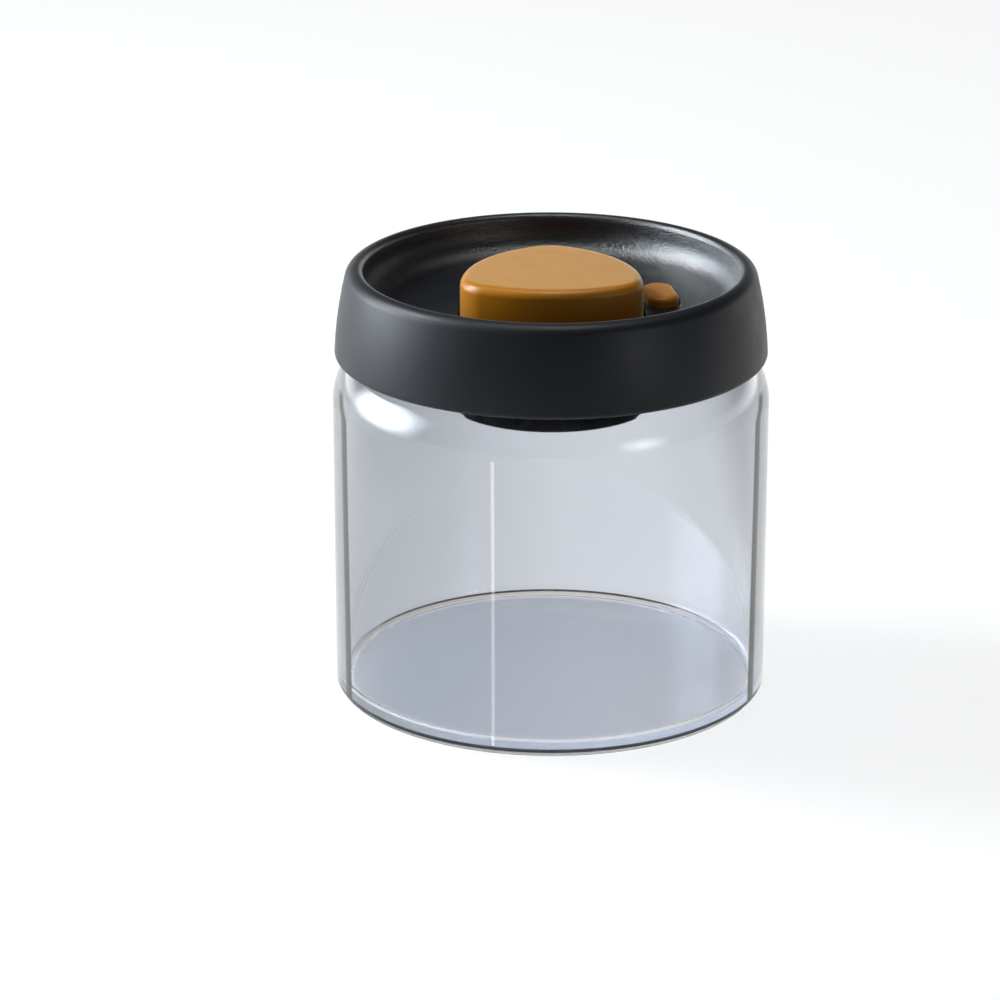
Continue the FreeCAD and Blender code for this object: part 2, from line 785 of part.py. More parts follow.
pieces = {
    "glass_jar": glass_jar,
    "lid_shell": lid_shell,
    "lid_plug": lid_plug,
    "lid_gasket": lid_gasket,
    "pump_cylinder": pump_cylinder,
    "cylinder_seal": cylinder_seal,
    "cylinder_screws": cylinder_screws,
    "intake_valve": intake_valve,
    "filter_disc": filter_disc,
    "filter_cap": filter_cap,
    "guide_plate": guide_plate_head,
    "guide_screws": guide_screws,
    "pump_button": pump_button,
    "piston": piston,
    "piston_seal": piston_seal,
    "piston_screw": piston_screw,
    "pump_spring": pump_spring,
    "release_button": release_button,
    "release_seal": release_seal,
    "release_clip": release_retainer,
    "release_spring": release_spring,
}

for piece_name, make_piece in pieces.items():
    save(piece_name, make_piece())
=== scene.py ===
import json
import math

import bmesh
import bpy
from mathutils import Matrix, Vector


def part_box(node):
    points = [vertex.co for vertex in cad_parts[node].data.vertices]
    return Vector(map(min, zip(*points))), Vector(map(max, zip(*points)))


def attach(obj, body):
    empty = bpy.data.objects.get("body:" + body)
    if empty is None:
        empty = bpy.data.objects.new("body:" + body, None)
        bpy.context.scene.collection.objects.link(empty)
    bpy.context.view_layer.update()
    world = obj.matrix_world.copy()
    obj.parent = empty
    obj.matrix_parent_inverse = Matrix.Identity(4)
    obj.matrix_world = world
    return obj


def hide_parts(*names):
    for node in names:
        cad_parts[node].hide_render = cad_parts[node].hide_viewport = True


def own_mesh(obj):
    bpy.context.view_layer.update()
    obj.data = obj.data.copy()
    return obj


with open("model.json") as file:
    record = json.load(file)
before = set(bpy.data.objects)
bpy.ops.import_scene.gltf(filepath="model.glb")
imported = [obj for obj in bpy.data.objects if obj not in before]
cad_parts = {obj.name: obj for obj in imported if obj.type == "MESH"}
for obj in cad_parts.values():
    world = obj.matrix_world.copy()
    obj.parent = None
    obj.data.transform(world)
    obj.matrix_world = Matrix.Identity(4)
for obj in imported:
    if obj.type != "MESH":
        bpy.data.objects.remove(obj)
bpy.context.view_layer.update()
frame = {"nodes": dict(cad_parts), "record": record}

# Vacuum canister: glass jar, dished lid, press pump and release button.
# Metres, +Z up, front towards -Y, origin at the middle of the base.

mm = 0.001
up = Vector((0, 0, 1))
towards_front = Vector((0, -1, 0))

# Fineness of the meshes
turn_steps = 192
bore_steps = 48
arc_turn = math.radians(6)
least_arc_steps = 5
lug_steps = 12
edge_steps = 4
button_edge_steps = 10
release_edge_steps = 8
sharp_angle = math.radians(32)
merge_reach = 0.001 * mm
level_reach = 0.005 * mm
bridge_lift = 100 * mm

# Heights and radii read from the frame
_, jar_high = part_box("glass_jar")
shell_low, shell_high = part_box("lid_shell")
_, plug_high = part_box("lid_plug")
gasket_low, gasket_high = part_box("lid_gasket")
cylinder_low, cylinder_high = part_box("pump_cylinder")
cap_low, cap_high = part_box("filter_cap")
button_low, button_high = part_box("pump_button")
release_low, release_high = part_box("release_button")
seal_low, seal_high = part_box("release_seal")
ring_low, ring_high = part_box("cylinder_seal")
jar_radius = jar_high.x
mouth_top = jar_high.z
canister_height = shell_high.z
skirt_bottom = shell_low.z
floor_under = plug_high.z
plug_flange_under = gasket_high.z
gasket_foot = gasket_low.z
cylinder_top = cylinder_high.z
cylinder_bottom = cylinder_low.z
cap_bottom = cap_low.z
button_top = button_high.z
button_post_end = button_low.z
release_top = release_high.z
release_tail_end = release_low.z
plug_bottom = seal_high.z
seal_foot = seal_low.z

# Glass jar
glass_wall = 2.4 * mm
glass_base = 2.6 * mm
base_corner = 1.8 * mm
base_inner_corner = 2.6 * mm
base_ring = 9.5 * mm
base_recess_rise = 0.8 * mm
shoulder_round = 14.0 * mm
neck_step = 6.0 * mm
neck_fillet = 3.0 * mm
neck_cover = 1.9 * mm
mouth_round = 0.7 * mm

# Lid shell
skirt_inset = 0.5 * mm
skirt_curve = 96.0 * mm
skirt_wall = 2.0 * mm
skirt_edge = 1.1 * mm
rim_inset = 5.6 * mm
rim_round = 1.5 * mm
rim_roll = 3.0 * mm
dish_straight = 2.0 * mm
dish_floor = 1.8 * mm
hollow_rise = 2.0 * mm
opening_edge = 0.4 * mm
flat_margin = 0.6 * mm
lug_count = 6
lug_sweep = math.radians(26)
lug_overlap = 0.5 * mm
lug_thickness = 1.0 * mm
lug_root = 0.6 * mm
seat_gap = 0.1 * mm

# Lid plug and gasket
plug_flange_lip = 0.9 * mm
plug_wall = 1.8 * mm
plug_floor = 1.8 * mm
plug_bead = 1.2 * mm
plug_bead_height = 4.3 * mm
plug_bead_round = 1.6 * mm
plug_collar_wall = 1.6 * mm
plug_boss_end = 1.2 * mm
moulded_edge = 0.25 * mm
gasket_room = 2.4 * mm
gasket_sleeve = 1.0 * mm
gasket_lip_root = 1.2 * mm
gasket_lip_tip = 0.5 * mm
gasket_lip_rise = 1.3 * mm
gasket_lip_gap = 0.3 * mm
gasket_lip_shares = (0.24, 0.58)

# Pump cylinder, its ears and the filter cap
cylinder_radius = 24.0 * mm
cylinder_wall = 2.0 * mm
cylinder_floor = 1.4 * mm
cylinder_spigot = 0.9 * mm
cylinder_ear = 1.3 * mm
ring_groove_depth = 0.9 * mm
ring_groove_room = 0.15 * mm
screw_hole = 1.2 * mm
screw_length = 5.0 * mm
screw_boss_radius = 2.4 * mm
ear_count = 3
guide_ear_angle = math.radians(45)
cylinder_ear_angle = math.radians(90)
guide_plate = 1.5 * mm
cap_thickness = 1.5 * mm
cap_edge = 0.9 * mm
cap_ring_wall = 1.6 * mm
cap_slot_count = 12
cap_slot_width = 1.8 * mm
cap_slot_shares = (0.32, 0.82)
cap_slot_edge = 0.3 * mm

# Pump button
button_inset = 2.25 * mm
button_taper = 2.5 * mm
button_corner_share = 0.207
button_point_share = 0.23
button_side_share = 0.69
button_widest_share = 0.195
button_wall = 1.8 * mm
button_roof = 2.0 * mm
button_edge = 2.2 * mm
button_gap = 0.5 * mm
button_skirt = 10.6 * mm
button_post_radius = 5.0 * mm

# Release button
release_angle = math.radians(9)
release_length = 14.0 * mm
release_width = 7.5 * mm
release_edge = 1.2 * mm
release_gap = 0.35 * mm
release_flange = 0.9 * mm
release_flange_gap = 0.3 * mm
release_tab = 1.2 * mm
release_tab_lip = 0.05 * mm
release_room = 0.6 * mm
release_stem_offset = 1.0 * mm
release_stem_radius = 1.2 * mm
release_vent_gap = 0.5 * mm
release_boss_wall = 1.3 * mm
release_boss_rise = 2.0 * mm
release_seal_radius = 3.0 * mm
release_clip = 0.6 * mm
release_clip_groove = 0.3 * mm

# Springs
pump_spring_wire = 1.4 * mm
pump_spring_turns = 4.5
release_spring_wire = 0.45 * mm
release_spring_turns = 6
coil_steps = 40
wire_steps = 12

# Sizes that follow
neck_radius = jar_radius - neck_step
neck_bore = neck_radius - glass_wall
skirt_radius = jar_radius - skirt_inset
rim_ridge_radius = skirt_radius - rim_inset
floor_top = floor_under + dish_floor
dish_round = canister_height - floor_top - rim_round - dish_straight
dish_edge = rim_ridge_radius - rim_round - dish_round
plug_flange_radius = neck_radius + plug_flange_lip
plug_wall_radius = neck_bore - gasket_room
plug_inner = plug_wall_radius - plug_wall
plug_floor_top = plug_bottom + plug_floor
ear_under = cylinder_top - cylinder_ear
guide_top = cylinder_top + guide_plate
cylinder_bore = cylinder_radius - cylinder_wall
collar_bore = cylinder_radius + seat_gap
collar_radius = collar_bore + plug_collar_wall
screw_circle = cylinder_radius + screw_boss_radius
cylinder_floor_under = cylinder_bottom + cylinder_spigot
cylinder_floor_top = cylinder_floor_under + cylinder_floor
button_width = (cylinder_radius - button_inset) * 2
button_depth = button_width - button_taper
button_ceiling = button_top - button_roof
button_bottom = button_top - button_skirt
release_stem_circle = cylinder_radius + release_room + release_seal_radius
release_circle = release_stem_circle - release_stem_offset
release_flange_top = floor_under - release_flange_gap
release_flange_under = release_flange_top - release_flange
release_bore = release_stem_radius + release_vent_gap
release_boss_top = plug_floor_top + release_boss_rise


def point(radius, height):
    return Vector((radius, 0, height))


def around(radius, angle, height=0):
    return Vector((radius * math.cos(angle), radius * math.sin(angle), height))


def lean(start, end):
    """Angle of the way from one profile point to another."""
    return math.atan2(end.z - start.z, end.x - start.x)


def heading(start, end):
    """Angle of the way from one plan point to another."""
    return math.atan2(end.y - start.y, end.x - start.x)


def draw(bm, start, moves, axis):
    """Edges from a start: a point is a straight run, a centre with an angle is an arc about the axis."""
    tip = bm.verts.new(start)
    for move in moves:
        if isinstance(move, tuple):
            centre, angle = move
            steps = max(least_arc_steps, math.ceil(abs(angle) / arc_turn))
            made = bmesh.ops.spin(bm, geom=[tip], cent=centre, axis=axis, angle=angle, steps=steps)
            tip = next(item for item in made["geom_last"] if isinstance(item, bmesh.types.BMVert))
        else:
            tip = bmesh.ops.extrude_vert_indiv(bm, verts=[tip])["verts"][0]
            tip.co = move
    return tip


def spun(start, moves, closed=True):
    """Profile drawn in the XZ plane and spun round the Z axis."""
    bm = bmesh.new()
    tip = draw(bm, start, moves, towards_front)
    bm.verts.ensure_lookup_table()
    if closed:
        bm.edges.new((tip, bm.verts[0]))
    bmesh.ops.spin(bm, geom=bm.verts[:] + bm.edges[:], cent=Vector(), axis=up, angle=math.tau,
                   steps=turn_steps, use_merge=True)
    bmesh.ops.remove_doubles(bm, verts=bm.verts, dist=merge_reach)
    bmesh.ops.recalc_face_normals(bm, faces=bm.faces)
    return bm


def new_edges(bm, make):
    """Edges that a drawing step adds."""
    known = set(bm.edges)
    make()
    return [edge for edge in bm.edges if edge not in known]


def closed_loop(bm, start, moves):
    """Level loop of edges whose last move comes back to the start."""
    known = set(bm.verts)
    draw(bm, start, moves, up)
    verts = [vert for vert in bm.verts if vert not in known]
    ends = [vert for vert in verts if len(vert.link_edges) == 1]
    bmesh.ops.weld_verts(bm, targetmap={ends[1]: ends[0]})
    return list(dict.fromkeys(edge for vert in verts if vert.is_valid for edge in vert.link_edges))


def ring_loop(bm, centre, radius, height, steps=bore_steps):
    place = Matrix.Translation(Vector((centre.x, centre.y, height)))
    return new_edges(bm, lambda: bmesh.ops.create_circle(bm, segments=steps, radius=radius, matrix=place))


def button_loop(bm, grow, height):
    """Rounded triangle of six tangent arcs, made larger all round by grow."""
    corner_round = button_width * button_corner_share
    point_round = button_width * button_point_share
    side_round = button_width * button_side_share
    widest = button_width * button_widest_share
    corner = Vector((button_width / 2 - corner_round, -widest, height))
    tip = Vector((0, button_depth / 2 - point_round, height))
    inset = button_depth / 2 - widest
    front_round = (inset ** 2 + corner.x ** 2 - corner_round ** 2) / (2 * (inset - corner_round))
    front = Vector((0, front_round - button_depth / 2, height))
    apart = tip - corner
    to_corner = side_round - corner_round
    to_tip = side_round - point_round
    along = (apart.length ** 2 + to_corner ** 2 - to_tip ** 2) / (2 * apart.length)
    across = math.sqrt(to_corner ** 2 - along ** 2)
    way = apart.normalized()
    side = corner + way * along + Vector((-way.y, way.x, 0)) * across
    low = heading(front, corner)
    mid = heading(side, corner)
    high = heading(side, tip)
    left_corner = Vector((-corner.x, corner.y, height))
    left_side = Vector((-side.x, side.y, height))
    start = front + around(front_round + grow, -math.pi - low)
    return closed_loop(bm, start, [
        (front, math.pi + 2 * low),
        (corner, mid - low),
        (side, high - mid),
        (tip, math.pi - 2 * high),
        (left_side, high - mid),
        (left_corner, mid - low),
    ])


def release_loop(bm, grow, height, stretch=0):
    """Slot shape of the release button, made larger by grow and longer by stretch at each end."""
    centre = around(release_circle, release_angle, height)
    half = release_length / 2 - release_width / 2 + stretch
    end = release_width / 2 + grow
    ahead = centre + around(half, release_angle + math.pi / 2)
    behind = centre - around(half, release_angle + math.pi / 2)
    return closed_loop(bm, ahead + around(end, release_angle), [
        (ahead, math.pi),
        behind - around(end, release_angle),
        (behind, math.pi),
        ahead + around(end, release_angle),
    ])


def slot_loop(bm, start, end, half, height):
    """Radial slot of the filter cap between two radii."""
    inner = point(start, height)
    outer = point(end, height)
    side = around(half, math.pi / 2)
    return closed_loop(bm, inner + side, [
        (inner, math.pi),
        outer - side,
        (outer, math.pi),
        inner + side,
    ])


def rounded_steps(radius, count=edge_steps):
    """(share across, share up) pairs along a quarter round, from its foot to its top."""
    angles = [index * math.pi / 2 / count for index in range(count + 1)]
    return [(radius * (1 - math.cos(angle)), radius * math.sin(angle)) for angle in angles]


def bridge(bm, loops):
    """Walls through a row of loops; each next loop is lifted while it is joined, so that two loops at one
    height pair up corner to corner."""
    for first, second in zip(loops, loops[1:]):
        corners = list(dict.fromkeys(vert for edge in second for vert in edge.verts))
        bmesh.ops.translate(bm, verts=corners, vec=up * bridge_lift)
        bmesh.ops.bridge_loops(bm, edges=first + second)
        bmesh.ops.translate(bm, verts=corners, vec=up * -bridge_lift)


def fill(bm, height):
    """Flat face between all open edges at one height."""
    edges = [edge for edge in bm.edges if edge.is_boundary
             and all(abs(vert.co.z - height) < level_reach for vert in edge.verts)]
    bmesh.ops.triangle_fill(bm, use_beauty=True, use_dissolve=False, edges=edges)


def repeat(bm, count):
    """Copies of everything drawn so far, evenly round the Z axis."""
    bmesh.ops.spin(bm, geom=bm.verts[:] + bm.edges[:] + bm.faces[:], cent=Vector(), axis=up,
                   angle=math.tau * (count - 1) / count, steps=count - 1, use_duplicate=True)
    return bm


def add(bm, other):
    """Takes another mesh's geometry in."""
    mesh = bpy.data.meshes.new("working")
    other.to_mesh(mesh)
    other.free()
    bm.from_mesh(mesh)
    bpy.data.meshes.remove(mesh)


def finished(name, bm, body, *nodes):
    """Object from a mesh, with merged seams, outward faces and smooth shading between sharp edges."""
    bmesh.ops.remove_doubles(bm, verts=bm.verts, dist=merge_reach)
    bmesh.ops.recalc_face_normals(bm, faces=bm.faces)
    for face in bm.faces:
        face.smooth = True
    mesh = bpy.data.meshes.new(name)
    bm.to_mesh(mesh)
    bm.free()
    mesh.set_sharp_from_angle(angle=sharp_angle)
    piece = bpy.data.objects.new(name, mesh)
    bpy.context.collection.objects.link(piece)
    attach(piece, body)
    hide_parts(*nodes)
    return piece


def combined(bm, other, operation):
    """First mesh joined with, or cut by, the second."""
    pieces = []
    for part in (bm, other):
        bmesh.ops.recalc_face_normals(part, faces=part.faces)
        mesh = bpy.data.meshes.new("working")
        part.to_mesh(mesh)
        part.free()
        piece = bpy.data.objects.new("working", mesh)
        bpy.context.collection.objects.link(piece)
        pieces.append(piece)
    change = pieces[0].modifiers.new("change", "BOOLEAN")
    change.object = pieces[1]
    change.operation = operation
    change.solver = "EXACT"
    bpy.context.view_layer.update()
    result = bpy.data.meshes.new_from_object(pieces[0].evaluated_get(bpy.context.evaluated_depsgraph_get()))
    made = bmesh.new()
    made.from_mesh(result)
    for piece in pieces:
        used = piece.data
        bpy.data.objects.remove(piece)
        bpy.data.meshes.remove(used)
    bpy.data.meshes.remove(result)
    return made


def pin(place, radius, bottom, top, steps=bore_steps):
    """Round pin at a plan place."""
    bm = bmesh.new()
    shift = Matrix.Translation(Vector((place.x, place.y, (bottom + top) / 2)))
    bmesh.ops.create_cone(bm, cap_ends=True, cap_tris=False, segments=steps, radius1=radius,
                          radius2=radius, depth=top - bottom, matrix=shift)
    return bm


# Glass jar: one wall with a domed underside, a round shoulder and a straight neck
def glass_jar():
    recess = jar_radius - base_ring
    dome = (recess ** 2 + base_recess_rise ** 2) / (2 * base_recess_rise)
    dome_centre = point(0, base_recess_rise - dome)
    neck_start = skirt_bottom + neck_cover
    fillet = point(neck_radius + neck_fillet, neck_start)
    shoulder_out = jar_radius - shoulder_round
    drop = (shoulder_round + neck_fillet) ** 2 - (fillet.x - shoulder_out) ** 2
    shoulder = point(shoulder_out, neck_start - math.sqrt(drop))
    turn = lean(shoulder, fillet)
    corner = point(jar_radius - base_corner, base_corner)
    inner_corner = point(jar_radius - glass_wall - base_inner_corner, glass_base + base_inner_corner)
    outer_lip = point(neck_radius - mouth_round, mouth_top - mouth_round)
    inner_lip = point(neck_bore + mouth_round, mouth_top - mouth_round)
    bm = spun(point(0, base_recess_rise), [
        (dome_centre, lean(dome_centre, point(recess, 0)) - math.pi / 2),
        point(corner.x, 0),
        (corner, math.pi / 2),
        point(jar_radius, shoulder.z),
        (shoulder, turn),
        (fillet, -turn),
        point(neck_radius, outer_lip.z),
        (outer_lip, math.pi / 2),
        point(inner_lip.x, mouth_top),
        (inner_lip, math.pi / 2),
        point(neck_bore, neck_start),
        (fillet, turn),
        (shoulder, -turn),
        point(jar_radius - glass_wall, inner_corner.z),
        (inner_corner, -math.pi / 2),
        point(0, glass_base),
    ], closed=False)
    return finished("jar_glass", bm, "jar", "glass_jar")


# Lid shell: bulged skirt, rounded rim and dished floor with two openings
def circle_centre(first, first_reach, second, second_reach):
    """Profile point at the given distances from two others, on the inner side of both."""
    apart = second - first
    along = (apart.length ** 2 + first_reach ** 2 - second_reach ** 2) / (2 * apart.length)
    across = math.sqrt(first_reach ** 2 - along ** 2)
    way = apart.normalized()
    return first + way * along + Vector((-way.z, 0, way.x)) * across


def opening(outline, gap):
    """Wall of an opening in the lid's floor, with a rounded upper edge."""
    bm = bmesh.new()
    loops = [outline(bm, gap, floor_under)]
    for across, rise in rounded_steps(opening_edge):
        loops.append(outline(bm, gap + across, floor_top - opening_edge + rise))
    bridge(bm, loops)
    return bm


def screw_boss(place, radius, top, end):
    """Wall of a hanging boss with a screw hole in its end."""
    bm = bmesh.new()
    loops = [ring_loop(bm, place, radius, top), ring_loop(bm, place, radius, end)]
    loops += [ring_loop(bm, place, screw_hole, end), ring_loop(bm, place, screw_hole, end + screw_length)]
    bridge(bm, loops)
    return bm


def lid_shell():
    rim = point(rim_ridge_radius, canister_height - rim_round)
    roll = point(rim_ridge_radius, canister_height - rim_roll)
    foot = point(skirt_radius, skirt_bottom)
    curve = circle_centre(foot, skirt_curve, roll, skirt_curve - rim_roll)
    edge_rise = skirt_bottom + skirt_edge
    edge_reach = math.sqrt((skirt_curve - skirt_edge) ** 2 - (edge_rise - curve.z) ** 2)
    edge = point(curve.x + edge_reach, edge_rise)
    dish = point(dish_edge, floor_top + dish_round)
    under = dish_round + dish_floor
    hollow_top = floor_top + hollow_rise
    under_lean = math.asin((hollow_top - dish.z) / under)
    inside = skirt_curve - skirt_wall
    inside_top = math.asin((hollow_top - curve.z) / inside)
    inside_foot = math.asin((skirt_bottom - curve.z) / inside)
    bm = spun(point(dish_edge - flat_margin, floor_top), [
        point(dish_edge, floor_top),
        (dish, math.pi / 2),
        point(rim.x - rim_round, rim.z),
        (rim, -math.pi / 2),
        (roll, lean(curve, roll) - math.pi / 2),
        (curve, lean(curve, edge) - lean(curve, roll)),
        (edge, -math.pi / 2 - lean(curve, edge)),
        point(curve.x + inside * math.cos(inside_foot), skirt_bottom),
        (curve, inside_top - inside_foot),
        point(dish.x + under * math.cos(under_lean), hollow_top),
        (dish, -math.pi / 2 - under_lean),
        point(dish_edge - flat_margin, floor_under),
    ], closed=False)
    boss = screw_boss(around(screw_circle, guide_ear_angle), screw_boss_radius, floor_under, guide_top)
    add(bm, opening(button_loop, button_gap))
    add(bm, opening(release_loop, release_gap))
    add(bm, repeat(boss, ear_count))
    fill(bm, floor_top)
    fill(bm, floor_under)
    fill(bm, guide_top + screw_length)
    lug_top = plug_flange_under - seat_gap
    lug_foot = lug_top - lug_thickness
    lug_inner = plug_flange_radius - lug_overlap
    lug_outer = curve.x + math.sqrt(inside ** 2 - (lug_top - curve.z) ** 2) + lug_root
    lugs = bmesh.new()
    tip = draw(lugs, point(lug_inner, lug_foot), [
        point(lug_outer, lug_foot),
        point(lug_outer, lug_top),
        point(lug_inner, lug_top),
    ], towards_front)
    lugs.verts.ensure_lookup_table()
    lugs.edges.new((tip, lugs.verts[0]))
    section = bmesh.ops.contextual_create(lugs, geom=lugs.edges[:])["faces"]
    bmesh.ops.rotate(lugs, verts=lugs.verts, cent=Vector(), matrix=Matrix.Rotation(-lug_sweep / 2, 3, "Z"))
    bmesh.ops.spin(lugs, geom=section, cent=Vector(), axis=up, angle=lug_sweep, steps=lug_steps)
    bmesh.ops.remove_doubles(bm, verts=bm.verts, dist=merge_reach)
    return finished("lid_cover", combined(bm, repeat(lugs, lug_count), "UNION"), "lid", "lid_shell")


# Lid plug: flange under the shell, wall inside the mouth, floor with the pump and vent openings
def lid_plug():
    bead = plug_wall_radius + plug_bead
    bead_foot = point(bead - plug_bead_round, plug_bottom + plug_bead_round)
    bm = spun(point(collar_bore, plug_bottom), [
        point(bead_foot.x, plug_bottom),
        (bead_foot, math.pi / 2),
        point(bead, plug_bottom + plug_bead_height),
        point(plug_wall_radius, plug_bottom + plug_bead_height),
        point(plug_wall_radius, plug_flange_under),
        point(plug_flange_radius, plug_flange_under),
        point(plug_flange_radius, floor_under),
        point(plug_inner, floor_under),
        point(plug_inner, plug_floor_top),
        point(collar_radius, plug_floor_top),
        point(collar_radius, ear_under),
        point(collar_bore, ear_under),
    ])
    hole_end = cylinder_top - screw_length - seat_gap
    place = around(screw_circle, cylinder_ear_angle)
    stem = around(release_stem_circle, release_angle)
    bosses = repeat(pin(place, screw_boss_radius, hole_end - plug_boss_end, ear_under), ear_count)
    # The bosses end a little inside the collar's wall, so that no two faces coincide
    boss_face = collar_bore + seat_gap
    bore = pin(Vector(), boss_face, hole_end - plug_boss_end * 2, cylinder_top, turn_steps)
    bm = combined(bm, combined(bosses, bore, "DIFFERENCE"), "UNION")
    bm = combined(bm, pin(stem, release_bore + release_boss_wall, plug_bottom, release_boss_top), "UNION")
    bm = combined(bm, repeat(pin(place, screw_hole, hole_end, cylinder_top), ear_count), "DIFFERENCE")
    vent = pin(stem, release_bore, plug_bottom - plug_floor, release_boss_top + plug_floor)
    return finished("plug", combined(bm, vent, "DIFFERENCE"), "lid", "lid_plug")


# Lid gasket: sleeve on the plug, flange on the glass, lips towards the neck
def lid_gasket():
    inner = plug_wall_radius + seat_gap
    outer = inner + gasket_sleeve
    lip_tip = neck_bore - gasket_lip_gap
    flange = neck_radius - mouth_round + seat_gap
    corners = [point(inner, gasket_foot), point(outer, gasket_foot)]
    for share in gasket_lip_shares:
        root = gasket_foot + (mouth_top - gasket_foot) * share
        lip = root + gasket_lip_rise
        corners += [point(outer, root), point(lip_tip, lip),
                    point(lip_tip, lip + gasket_lip_tip), point(outer, root + gasket_lip_root)]
    corners += [point(outer, mouth_top), point(flange, mouth_top)]
    corners += [point(flange, plug_flange_under), point(inner, plug_flange_under)]
    return finished("mouth_gasket", spun(corners[0], corners[1:]), "lid", "lid_gasket")


# Pump cylinder: bore with a floor, a groove for its ring seal and three screw ears
def pump_cylinder():
    groove = cylinder_radius - ring_groove_depth
    low = ring_low.z - ring_groove_room
    high = ring_high.z + ring_groove_room
    bm = spun(point(0, cylinder_floor_under), [
        point(cylinder_bore, cylinder_floor_under),
        point(cylinder_bore, cylinder_bottom),
        point(cylinder_radius, cylinder_bottom),
        point(cylinder_radius, low),
        point(groove, low),
        point(groove, high),
        point(cylinder_radius, high),
        point(cylinder_radius, cylinder_top),
        point(cylinder_bore, cylinder_top),
        point(cylinder_bore, cylinder_floor_top),
        point(0, cylinder_floor_top),
    ], closed=False)
    place = around(screw_circle, cylinder_ear_angle)
    bm = combined(bm, repeat(pin(place, screw_boss_radius, ear_under, cylinder_top), ear_count), "UNION")
    holes = repeat(pin(place, screw_hole, ear_under - cylinder_ear, cylinder_top + cylinder_ear), ear_count)
    return finished("cylinder", combined(bm, holes, "DIFFERENCE"), "lid", "pump_cylinder")


# Filter cap: slotted cover that plugs into the foot of the cylinder
def filter_cap():
    ring_outer = cylinder_bore - seat_gap
    ring_inner = ring_outer - cap_ring_wall
    floor = cap_bottom + cap_thickness
    edge = point(cylinder_radius - cap_edge, cap_bottom + cap_edge)
    bm = spun(point(ring_inner - flat_margin, cap_bottom), [
        point(edge.x, cap_bottom),
        (edge, math.pi / 2),
        point(cylinder_radius, cylinder_bottom),
        point(ring_outer, cylinder_bottom),
        point(ring_outer, cap_high.z),
        point(ring_inner, cap_high.z),
        point(ring_inner, floor),
        point(ring_inner - flat_margin, floor),
    ], closed=False)
    half = cap_slot_width / 2
    start = ring_inner * cap_slot_shares[0] + half
    end = ring_inner * cap_slot_shares[1] - half
    slot = bmesh.new()
    loops = [slot_loop(slot, start, end, half, floor)]
    for across, rise in rounded_steps(cap_slot_edge):
        loops.append(slot_loop(slot, start, end, half + across, cap_bottom + cap_slot_edge - rise))
    bridge(slot, loops)
    add(bm, repeat(slot, cap_slot_count))
    fill(bm, floor)
    fill(bm, cap_bottom)
    return finished("filter_cover", bm, "lid", "filter_cap")


# Pump button: hollow cap with a rounded top edge and a post for the piston
def pump_button():
    bm = bmesh.new()
    loops = [button_loop(bm, -button_wall, button_ceiling)]
    loops.append(button_loop(bm, -button_wall, button_bottom))
    loops.append(button_loop(bm, -moulded_edge, button_bottom))
    loops.append(button_loop(bm, 0, button_bottom + moulded_edge))
    for across, rise in rounded_steps(button_edge, button_edge_steps):
        loops.append(button_loop(bm, -across, button_top - button_edge + rise))
    loops.append(button_loop(bm, -button_edge - flat_margin, button_top))
    bridge(bm, loops)
    add(bm, screw_boss(Vector(), button_post_radius, button_ceiling, button_post_end))
    for height in (button_top, button_ceiling, button_post_end + screw_length):
        fill(bm, height)
    return finished("press_button", bm, "pump", "pump_button")


# Release button: slot-shaped key with stop tabs and a stem that carries the vent valve
def release_button():
    bm = bmesh.new()
    stem = around(release_stem_circle, release_angle)
    groove = release_stem_radius - release_clip_groove
    clip_foot = seal_foot - release_clip
    loops = [release_loop(bm, release_tab_lip, release_flange_under, release_tab)]
    loops.append(release_loop(bm, release_tab_lip, release_flange_top, release_tab))
    loops.append(release_loop(bm, 0, release_flange_top))
    for across, rise in rounded_steps(release_edge, release_edge_steps):
        loops.append(release_loop(bm, -across, release_top - release_edge + rise))
    loops.append(release_loop(bm, -release_edge - flat_margin, release_top))
    bridge(bm, loops)
    rings = [ring_loop(bm, stem, release_stem_radius, release_flange_under)]
    rings.append(ring_loop(bm, stem, release_stem_radius, seal_foot))
    rings.append(ring_loop(bm, stem, groove, seal_foot))
    rings.append(ring_loop(bm, stem, groove, clip_foot))
    rings.append(ring_loop(bm, stem, release_stem_radius, clip_foot))
    rings.append(ring_loop(bm, stem, release_stem_radius, release_tail_end))
    bridge(bm, rings)
    for height in (release_top, release_flange_under, release_tail_end):
        fill(bm, height)
    return finished("vent_button", bm, "release", "release_button")


# Springs: open coils wound up from their foot
def spring(name, node, wire, turns):
    low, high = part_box(node)
    height = high.z - low.z
    centre = Vector(((low.x + high.x) / 2, (low.y + high.y) / 2, low.z))
    start = centre + point((high.x - low.x - wire) / 2, wire / 2)
    steps = round(turns * coil_steps)
    rise = (height - wire) / steps
    bm = bmesh.new()
    bmesh.ops.create_circle(bm, segments=wire_steps, radius=wire / 2,
                            matrix=Matrix.Translation(start) @ Matrix.Rotation(math.pi / 2, 4, "X"))
    bmesh.ops.spin(bm, geom=bm.verts[:] + bm.edges[:], cent=centre, axis=up, dvec=up * rise,
                   angle=math.tau * turns, steps=steps)
    bmesh.ops.holes_fill(bm, edges=[edge for edge in bm.edges if edge.is_boundary], sides=wire_steps)
    piece = finished(name, bm, "lid", node)
    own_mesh(piece)
    return piece


jar = glass_jar()
cover = lid_shell()
plug = lid_plug()
gasket = lid_gasket()
cylinder = pump_cylinder()
filter_cover = filter_cap()
press = pump_button()
vent = release_button()
pump_coil = spring("pump_coil", "pump_spring", pump_spring_wire, pump_spring_turns)
vent_coil = spring("vent_coil", "release_spring", release_spring_wire, release_spring_turns)


# Materials. A source is a (node, output) pair, or a plain value.
noise_middle = (0.3, 0.7)
fine_detail = 2.0
gloss_drift = 3
white = (1, 1, 1, 1)


